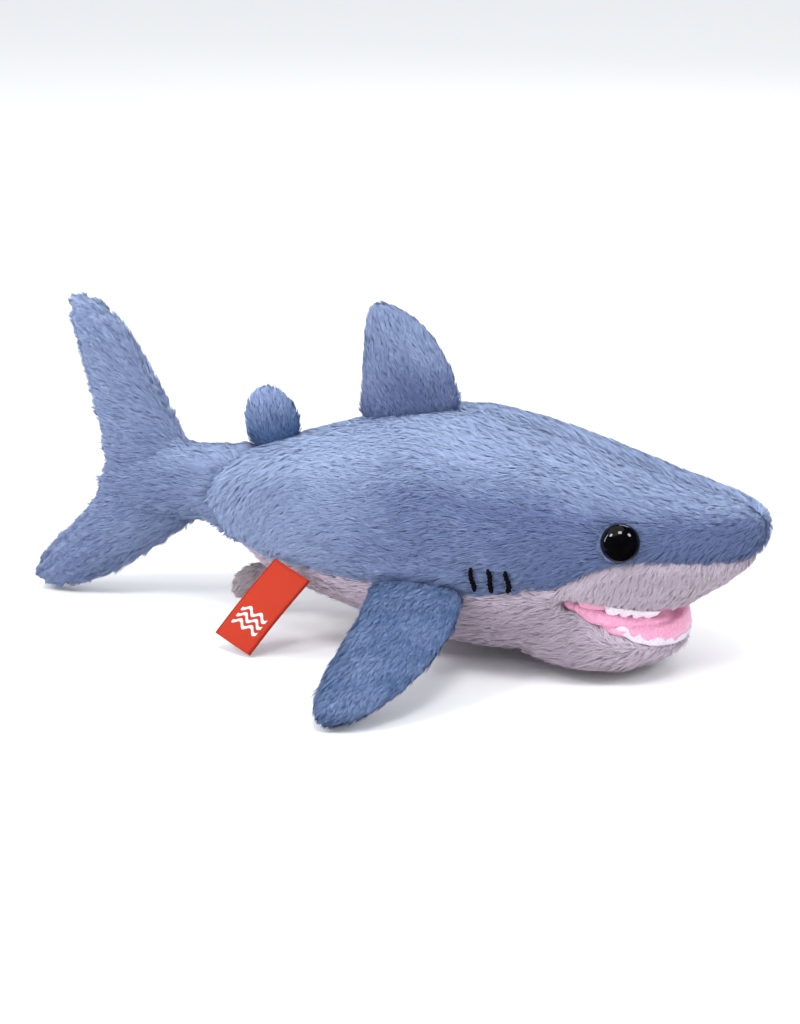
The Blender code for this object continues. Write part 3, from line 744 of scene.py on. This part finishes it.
def ribbon_material():
    """Red woven ribbon with dark selvedges and a plain motif of white waves on each face."""
    material, shader = new_material("red_ribbon", 0.5)
    uv = add_node(material, "ShaderNodeUVMap", uv_map=UV_NAME)
    split = material.node_tree.nodes.new("ShaderNodeSeparateXYZ")
    link(material, uv.outputs[0], split.inputs[0])
    across, along = split.outputs["X"], split.outputs["Y"]
    threads = combine(material, "SINE", combine(material, "MULTIPLY", across, 420))
    picks = combine(material, "SINE", combine(material, "MULTIPLY", along, 1500))
    weave = combine(material, "ADD", combine(material, "MULTIPLY", threads, picks), 1)
    stops = ((0, (0.36, 0.016, 0.003)), (1, (0.58, 0.038, 0.006)))
    red = ramp(material, combine(material, "MULTIPLY", weave, 0.5), stops)
    edge = combine(material, "ABSOLUTE", combine(material, "SUBTRACT", across, 0.5))
    from_selvedge = combine(material, "ABSOLUTE", combine(material, "SUBTRACT", edge, 0.478))
    dark = combine(material, "LESS_THAN", from_selvedge, 0.01)
    marked = blend_colours(material, waves_motif(material, across, along, edge), red, (0.85, 0.78, 0.84))
    colour = blend_colours(material, dark, marked, (0.22, 0.01, 0.008))
    link(material, colour, shader.inputs["Base Color"])
    bump = add_node(material, "ShaderNodeBump", Strength=0.35, Distance=0.0001)
    link(material, weave, bump.inputs["Height"])
    link(material, bump.outputs[0], shader.inputs["Normal"])
    return material


def blend_colours(material, share, under, over):
    """Lays a plain colour over a colour socket where share is 1."""
    mix = material.node_tree.nodes.new("ShaderNodeMix")
    mix.data_type = "RGBA"
    link(material, share, mix.inputs["Factor"])
    link(material, under, mix.inputs[6])
    mix.inputs[7].default_value = (*over, 1)
    return mix.outputs[2]


def eye_material():
    """Polished black plastic, which stays dark between the reflections of the lamps."""
    material, shader = new_material("eye_gloss", 0.05)
    shader.inputs["Specular IOR Level"].default_value = 0.4
    place = add_node(material, "ShaderNodeTexCoord")
    noise = add_node(material, "ShaderNodeTexNoise", Scale=300.0, Detail=2.0)
    link(material, place.outputs["Object"], noise.inputs["Vector"])
    stops = ((0.3, (0.001, 0.001, 0.0015)), (0.8, (0.003, 0.003, 0.004)))
    link(material, ramp(material, noise.outputs[0], stops), shader.inputs["Base Color"])
    return material


def make_materials():
    """All the toy's materials, by name."""
    made = {name: pile_material(name, *shades) for name, shades in PILES.items()}
    made |= {name: backing_material(name, colour) for name, colour in BACKINGS.items()}
    made |= {name: grained_material(name, *grain) for name, grain in GRAINED.items()}
    made |= {"red_ribbon": ribbon_material(), "eye_gloss": eye_material()}
    thread = made["black_thread"].node_tree.nodes["Principled BSDF"]
    thread.inputs["Specular IOR Level"].default_value = 0.05  # keeps it black under the lamps
    return made


# ---------------- small pieces

def dress(made, material):
    made.data.materials.clear()
    made.data.materials.append(material)
    return made


def bend(made):
    """Bakes a piece's placement into its mesh."""
    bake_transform(made)


def eye_place(side):
    """Centre of the eye's rim, its axis and its radius, read from the CAD button and its washer."""
    washer = points_of(frame["nodes"]["eye_washer_" + side].data).mean(axis=0)
    button = points_of(frame["nodes"]["eye_" + side].data)
    away = np.linalg.norm(button - washer, axis=1)
    tip = button[np.argmax(away)]
    axis = unit(tip - washer)
    along = (button - washer) @ axis
    radius = np.linalg.norm((button - washer) - along[:, None] * axis, axis=1)
    rim = along[np.argmax(radius)]
    return Vector(washer + axis * rim), Vector(axis), float(radius.max())


def turned(name, base, axis, profile, sides):
    """A round surface about an axis from a list of (height, radius), closed at each end."""
    shape = bmesh.new()
    first = axis.orthogonal().normalized()
    second = axis.cross(first)
    loops = []
    for height, radius in profile:
        ring = []
        for i in range(sides):
            turn = math.tau * i / sides
            offset = (first * math.cos(turn) + second * math.sin(turn)) * radius
            ring.append(shape.verts.new(base + axis * height + offset))
        loops.append(ring)
    return close_tube(name, shape, loops)


def make_eyes(material):
    """Domed buttons whose backs are sunk in the pile."""
    for side in SIDES:
        centre, axis, radius = eye_place(side)
        profile = [(-1.6 * MM, radius * 0.3), (-1.2 * MM, radius * 0.9), (-0.6 * MM, radius)]
        for i in range(EYE_RINGS):
            turn = math.pi / 2 * i / EYE_RINGS
            profile.append((EYE_HEIGHT * math.sin(turn), radius * math.cos(turn)))
        eye = dress(turned("eye_dome_" + side, centre, axis, profile, 48), material)
        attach(eye, "torso")
        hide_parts("eye_" + side)


def swept(name, path, radius, sides, lobes, pitch):
    """A twisted thread: a ring of points carried along a path, with lobes that wind round it."""
    shape = bmesh.new()
    loops = []
    run = 0.0
    for i, place in enumerate(path):
        ahead = (path[min(i + 1, len(path) - 1)] - path[max(i - 1, 0)]).normalized()
        run += (place - path[max(i - 1, 0)]).length
        first = ahead.cross(UP if abs(ahead.z) < 0.7 else FORWARD).normalized()
        second = ahead.cross(first)
        end = math.sqrt(max(0.0, 1 - (2 * i / (len(path) - 1) - 1) ** 8))
        ring = []
        for k in range(sides):
            turn = math.tau * k / sides
            twist = 1 + 0.22 * math.cos(lobes * (turn - math.tau * run / pitch))
            bulge = radius * (0.35 + 0.65 * end) * twist
            ring.append(shape.verts.new(place + (first * math.cos(turn) + second * math.sin(turn)) * bulge))
        loops.append(ring)
    return close_tube(name, shape, loops)


def close_tube(name, shape, loops):
    """Joins rings of points into a closed tube."""
    count = len(loops[0])
    for lower, upper in zip(loops, loops[1:]):
        for i in range(count):
            shape.faces.new((lower[i - 1], lower[i], upper[i], upper[i - 1]))
    shape.faces.new(loops[0][::-1])
    shape.faces.new(loops[-1])
    bmesh.ops.recalc_face_normals(shape, faces=shape.faces)
    mesh = mesh_of(name, shape)
    mesh.shade_smooth()
    return new_object(name, mesh)


def make_gills(material, ground):
    """Each gill is a row of short bites of black thread that dip into the pile."""
    steps = GILL_BITES * 8
    for node in [name for name in frame["nodes"] if name.startswith("gill_stitch")]:
        points = points_of(frame["nodes"][node].data)
        top = points[points[:, 2] > points[:, 2].max() - 0.3 * MM].mean(axis=0)
        bottom = points[points[:, 2] < points[:, 2].min() + 0.3 * MM].mean(axis=0)
        path = []
        for i in range(steps + 1):
            share = i / steps
            bite = abs(math.sin(math.pi * GILL_BITES * share))
            sway = Vector((math.sin(7.3 * share + points[0, 0] * 900) * 0.18 * MM, 0, 0))
            place, normal, _, _ = ground.find_nearest(Vector(top).lerp(Vector(bottom), 0.9 * share))
            path.append(place + normal * (0.6 * bite + 0.9) * MM + sway)
        gill = dress(swept(node + "_thread", path, THREAD_RADIUS, 12, 2, THREAD_PITCH), material)
        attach(gill, "torso")
        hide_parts(node)


def label_place():
    """The middle of the CAD label's sewn edge, the ways down and across, its drop and its width."""
    joint = JOINTS["label_flip"]
    axis = np.array(joint["axis"])
    points = points_of(frame["nodes"]["label"].data)
    from_root = points - np.array(joint["pos_m"])
    distance = np.linalg.norm(from_root - np.outer(from_root @ axis, axis), axis=1)
    top = points[distance < 0.1 * distance.max()]
    bottom = points[distance > 0.97 * distance.max()]
    middle = Vector(top.mean(axis=0))
    down = Vector(bottom.mean(axis=0)) - middle
    return middle, down.normalized(), Vector(axis), down.length, float(np.ptp(bottom @ axis))


def ribbon_mesh(middle, down, across, drop, width):
    """The folded ribbon as one sheet, a little bowed and cupped, with the map of its weave."""
    out = across.cross(down).normalized()
    if out.y > 0:
        out = -out
    shape = bmesh.new()
    uv = shape.loops.layers.uv.new(UV_NAME)
    rows = []
    path = ribbon_path(drop, RIBBON_THICKNESS)
    for i, (fall, aside) in enumerate(path):
        bow = 0.7 * MM * math.sin(math.pi * fall / drop)
        row = []
        for k in range(RIBBON_ACROSS + 1):
            share = k / RIBBON_ACROSS - 0.5
            cup = 0.35 * MM * (2 * share) ** 2 * fall / drop
            place = middle + across * width * share + down * fall + out * (aside + bow - cup)
            row.append((shape.verts.new(place), share + 0.5, i / (len(path) - 1)))
        rows.append(row)
    for first, second in zip(rows, rows[1:]):
        for k in range(RIBBON_ACROSS):
            corners = (first[k], first[k + 1], second[k + 1], second[k])
            face = shape.faces.new([corner[0] for corner in corners])
            for loop, corner in zip(face.loops, corners):
                loop[uv].uv = corner[1:]
    mesh = mesh_of("label_ribbon", shape)
    mesh.shade_smooth()
    return mesh


def make_label(material):
    """A woven ribbon folded in two: down from the seam, round the fold and back up behind."""
    middle, down, across, drop, width = label_place()
    made = new_object("label_ribbon", ribbon_mesh(middle, down, across, drop, width))
    thick = made.modifiers.new("thickness", "SOLIDIFY")
    thick.thickness = RIBBON_THICKNESS
    thick.offset = 0
    bake_modifiers(made)
    dress(made, material)
    bend(made)
    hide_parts("label")


def ribbon_path(drop, gap):
    """How far down and how far aside the ribbon lies, from one raw end round the fold to the other."""
    straight = [drop * i / RIBBON_DOWN for i in range(RIBBON_DOWN)]
    fold = [(drop + gap * math.sin(turn), gap * math.cos(turn)) for turn in np.linspace(0, math.pi, 7)]
    front = [(fall, gap) for fall in straight]
    behind = [(fall, -gap) for fall in reversed(straight)]
    return front + fold + behind


def settled_teeth(points, lower):
    """Draws a felt strip in behind its lip, and cuts points in the lower or lengthens the upper's."""
    from_hinge = (points - (JAW_HINGE.x, 0, 0)) * (1, 1, 0)
    settled = points - from_hinge * 0.02
    if lower:
        turn = np.arctan2(from_hinge[:, 1], from_hinge[:, 0])
        share = (points[:, 2] - points[:, 2].min()) / np.ptp(points[:, 2])
        cut = 1.3 * MM * np.abs(np.sin(LIP_POINTS * turn)) * smoothstep(0.3, 1.0, share)
        settled[:, 2] += cut - 0.5 * MM
    else:
        top = points[:, 2].max()
        settled[:, 2] = top - (top - points[:, 2]) * 1.25
    return settled


def creased(points, normals):
    """Presses the fold across the mouth lining."""
    low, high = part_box("tongue_lining")
    fold = (low.z + high.z) / 2 + 0.6 * MM + 0.7 * MM * np.sin(points[:, 1] / (7 * MM))
    depth = 0.9 * MM * np.exp(-(((points[:, 2] - fold) / (0.6 * MM)) ** 2))
    return points - normals * depth[:, None]


def mouth_corners():
    """The lining's back end, which runs into the corners of the mouth."""
    shape = bmesh.new()
    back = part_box("tongue_lining")[0].x
    for vertex in frame["nodes"]["tongue_lining"].data.vertices:
        if vertex.co.x < back + 3 * MM:
            shape.verts.new(vertex.co)
            shape.verts.new(vertex.co * 0.995 - Vector((3.5 * MM, 0, -1.2 * MM)))
        elif vertex.co.x < back + 12 * MM:
            shape.verts.new(Vector((vertex.co.x, vertex.co.y * 1.05, vertex.co.z)))
    return hull_mesh("mouth_corners", shape)


def soft_copy(name, node, voxel, smoothing, swell=0.0, extra=()):
    """A CAD node remade as a soft, rounded piece."""
    made = remeshed(cad_copy(name, [node], extra), voxel, smoothing)
    if swell:
        set_points(made.data, points_of(made.data) + normals_of(made.data) * swell)
    made.data.shade_smooth()
    return made


# ---------------- coats, fins and mouth

Coat = namedtuple("Coat", "regions nap pile backing length slot nodes")
COATS = {
    "back_left": Coat(["back_left"], body_nap, "blue_pile", "blue_backing", 3.0 * MM, "blue_plush",
                      ["back_panel_left"]),
    "back_right": Coat(["back_right"], body_nap, "blue_pile", "blue_backing", 3.0 * MM, "blue_plush",
                       ["back_panel_right"]),
    "tail": Coat(["tail_left", "tail_right"], tail_nap, "blue_pile", "blue_backing", 3.0 * MM, "blue_plush",
                 ["tail_panel_left", "tail_panel_right", "tail_stuffing"]),
    "belly": Coat(["belly"], belly_nap, "grey_pile", "grey_backing", 2.6 * MM, "grey_plush",
                  ["belly_panel", "lower_jaw_panel", "jaw_stuffing"]),
    "snout": Coat(["snout"], snout_nap, "pale_grey_pile", "grey_backing", 2.4 * MM, "pale_grey_plush",
                  ["snout_panel", "body_stuffing"]),
}


def coat_shade(name, at, facing):
    """Where a coat's pile is lighter: painted light on top, at the rear of the body, up the tail and on the
    jaw.
    """
    shade = 0.45 + 0.09 * ripple(at, 31 * MM, 1.0)
    if name.startswith("back"):
        # painted light: lighter towards the rear of the body
        shade = shade - 0.26 + 0.44 * smoothstep(TAIL_SEAM + 62 * MM, TAIL_SEAM + 14 * MM, at[:, 0])
        # painted light: lighter where the cloth faces up to the lamps; the brushed patch by the eye is
        # darker
        shade = shade + 0.75 * smoothstep(0.35, 0.95, facing[:, 2]) - 0.2 * ruffle(at)
        shade = shade - 0.16 * smoothstep(JAW_HINGE.x - 30 * MM, JAW_HINGE.x, at[:, 0])
    if name == "tail":
        # painted light: lighter up the tail's upper lobe and where the tail faces up
        shade = shade - 0.12 + 0.2 * smoothstep(TAIL_HINGE.z + 5 * MM, TAIL_HINGE.z + 35 * MM, at[:, 2])
        shade = shade + 0.35 * smoothstep(0.2, 0.9, facing[:, 2])
    if name == "belly":
        # painted light: the jaw lighter, as if lit from the front
        shade = shade + 0.35 * smoothstep(JAW_HINGE.x, JAW_HINGE.x + 14 * MM, at[:, 0])
    return shade


def strand_length(name, at, from_mouth):
    """A coat's strands are shorter at the lips, round the nose stitch and at the ends of the tail."""
    lip = 1 if name == "snout" else smoothstep(1.5 * MM, 6 * MM, from_mouth)
    stitch = smoothstep(1 * MM, 9 * MM, distance_to(NOSE_STITCH, at))
    lobe_end = smoothstep(48 * MM, 66 * MM, distance_to(TAIL_MIDDLE, at)) if name == "tail" else 0
    return COATS[name].length * (0.75 + 0.25 * lip) * (0.55 + 0.45 * stitch) * (1 - 0.5 * lobe_end)


def hang(made, name):
    """Rides a coat on the torso, or, for the tail and the belly, bakes its placement into its mesh."""
    if name == "tail":
        bend(made)
    elif name == "belly":
        bend(made)
    else:
        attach(made, "torso")


def make_coat(name, skin, away, materials, rng):
    """One panel group of the body: its cloth and its pile."""
    coat = COATS[name]
    cloth = part_of_skin(name + "_cloth", skin, np.isin(region_of(away), coat.regions))
    dress(cloth, materials[coat.backing])
    own = np.min([away[region] for region in coat.regions], axis=0)
    other = np.min([away[region] for region in REGIONS if region not in coat.regions], axis=0)
    spread = Spread(skin, own < other + BODY_VOXEL * 1.5, DENSITY, rng)
    inside = spread.read(own) <= spread.read(other)
    spread.thin(inside & clear_of_eyes(spread.at) & clear_of_gills(spread.at))
    spread.thin(slice(MOST_STRANDS))
    nap = coat.nap(spread.at, spread.facing)
    shade = coat_shade(name, spread.at, spread.facing)
    length = strand_length(name, spread.at, spread.read(away["mouth"]))
    fur = dress(grow(name + "_pile", spread, nap, shade, rng, length), materials[coat.pile])
    for made in (cloth, fur):
        hang(made, name)
    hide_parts(*coat.nodes)


def make_fin(name, materials, rng):
    """A stuffed fin, drawn flat at its root, with its pile running out to the tip."""
    fin = FINS[name]
    nodes = fin_nodes(name)
    cloth = dress(fin_skin(name + "_cloth", nodes, 1.0 * MM, 0.8 * MM), materials[fin.backing])
    root, axis, way, out = fin_frame(fin.joint, nodes)
    set_points(cloth.data, pinched(points_of(cloth.data), root, axis, out, fin.spread))
    keep = (points_of(cloth.data) - np.array(root)) @ np.array(out) > -2 * MM
    spread = Spread(cloth, keep, DENSITY, rng)
    nap = np.array(way) + 0.25 * ripple(spread.at, 15 * MM)[:, None] * np.array(axis)
    height = (spread.at - np.array(root)) @ np.array(out)
    # painted shade and light: darker at the root by the body, lighter out to the tip
    shade = fin.root_shade + (fin.tip_shade - fin.root_shade) * height / height.max()
    shade = shade + 0.13 * ripple(spread.at, 17 * MM, 2.0)
    fur = dress(grow(name + "_pile", spread, nap, shade, rng, FIN_STRAND), materials[fin.pile])
    for made in (cloth, fur):
        bend(made)
    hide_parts(*nodes)


def make_lining(material):
    """The pink pads above and below the fold of the mouth; the lower one runs on into the corners."""
    palate = dress(soft_copy("palate_pad", "palate_lining", 0.5 * MM, 5, 0.5 * MM), material)
    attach(palate, "torso")
    tongue = soft_copy("tongue_pad", "tongue_lining", 0.5 * MM, 6, 0.8 * MM, [mouth_corners()])
    set_points(tongue.data, creased(points_of(tongue.data), normals_of(tongue.data)))
    tongue.data.shade_smooth()
    dress(tongue, material)
    bend(tongue)
    for pad, node in ((palate, "palate_lining"), (tongue, "tongue_lining")):
        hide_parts(node)


def make_teeth(materials):
    """The felt strips on each side of the upper lip and along the lower one."""
    for node in ("upper_teeth_left", "upper_teeth_right", "lower_teeth"):
        lower = node == "lower_teeth"
        teeth = soft_copy(node + "_felt", node, 0.24 * MM, 2, 0.1 * MM)
        set_points(teeth.data, settled_teeth(points_of(teeth.data), lower))
        teeth.data.shade_smooth()
        dress(teeth, materials["lip_felt" if lower else "white_felt"])
        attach(teeth, "jaw" if lower else "torso")
        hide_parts(node)


# ---------------- stage

def make_floor():
    """White paper. It is hidden from the gloss of the eyes, which then show the lamps."""
    shape = bmesh.new()
    corners = ((-1, -1), (1, -1), (1, 1), (-1, 1))
    shape.faces.new([shape.verts.new((x * FLOOR_HALF, y * FLOOR_HALF, FLOOR_HEIGHT)) for x, y in corners])
    floor = new_object("floor", mesh_of("floor", shape))
    material, shader = new_material("paper", 0.9)
    shader.inputs["Base Color"].default_value = (0.9, 0.9, 0.9, 1)
    dress(floor, material)
    floor.visible_glossy = False


def make_world():
    world = bpy.data.worlds.new("studio")
    bpy.context.scene.world = world
    world.use_nodes = True
    background = world.node_tree.nodes["Background"]
    background.inputs["Color"].default_value = (0.92, 0.95, 1.0, 1)
    background.inputs["Strength"].default_value = 0.78
    world.cycles_visibility.glossy = False


def make_lamps():
    ceiling = bpy.data.lights.new("ceiling", "SUN")
    ceiling.energy = 0.7
    ceiling.angle = math.radians(75)
    place_light(ceiling, Vector((-0.35, -0.15, 1)))
    for name, (azimuth, elevation, width, height, power) in LAMPS.items():
        lamp = bpy.data.lights.new(name, "AREA")
        lamp.shape = "RECTANGLE"
        lamp.size = width
        lamp.size_y = height
        lamp.energy = power
        placed = place_light(lamp, direction(azimuth, elevation))
        placed.visible_glossy = name != "fill"


def direction(azimuth, elevation):
    """A unit vector out from the toy."""
    turn, lift = math.radians(azimuth), math.radians(elevation)
    return Vector((math.sin(turn) * math.cos(lift), -math.cos(turn) * math.cos(lift), math.sin(lift)))


def place_light(light, towards):
    """Puts a light a metre away from the middle of the object, facing it."""
    made = new_object(light.name, light)
    made.location = (cad_low + cad_high) / 2 + towards
    made.rotation_euler = towards.to_track_quat("Z", "Y").to_euler()
    return made


def make_camera():
    back = direction(*CAMERA_TURN)
    aim = (cad_low + cad_high) / 2 + CAMERA_AIM
    data = bpy.data.cameras.new("camera")
    data.lens = CAMERA_LENS
    data.clip_start, data.clip_end = 0.02, 20
    camera = new_object("camera", data)
    camera.location = aim + back * CAMERA_DISTANCE
    camera.rotation_euler = back.to_track_quat("Z", "Y").to_euler()
    bpy.context.scene.camera = camera


# ---------------- assembly

materials = make_materials()
rng = np.random.default_rng(SEED)
skin, away = body_skin()
for name in COATS:
    make_coat(name, skin, away, materials, rng)
ground = BVHTree.FromObject(skin, bpy.context.evaluated_depsgraph_get())
bpy.data.objects.remove(skin)
for name in FINS:
    make_fin(name, materials, rng)
make_lining(materials["pink_lining"])
make_teeth(materials)
make_eyes(materials["eye_gloss"])
make_gills(materials["black_thread"], ground)
make_label(materials["red_ribbon"])
for side in SIDES:
    dress(frame["nodes"]["eye_washer_" + side], materials["washer_plastic"])

make_floor()
make_world()
make_lamps()
make_camera()
bpy.context.scene.view_settings.view_transform = "Standard"
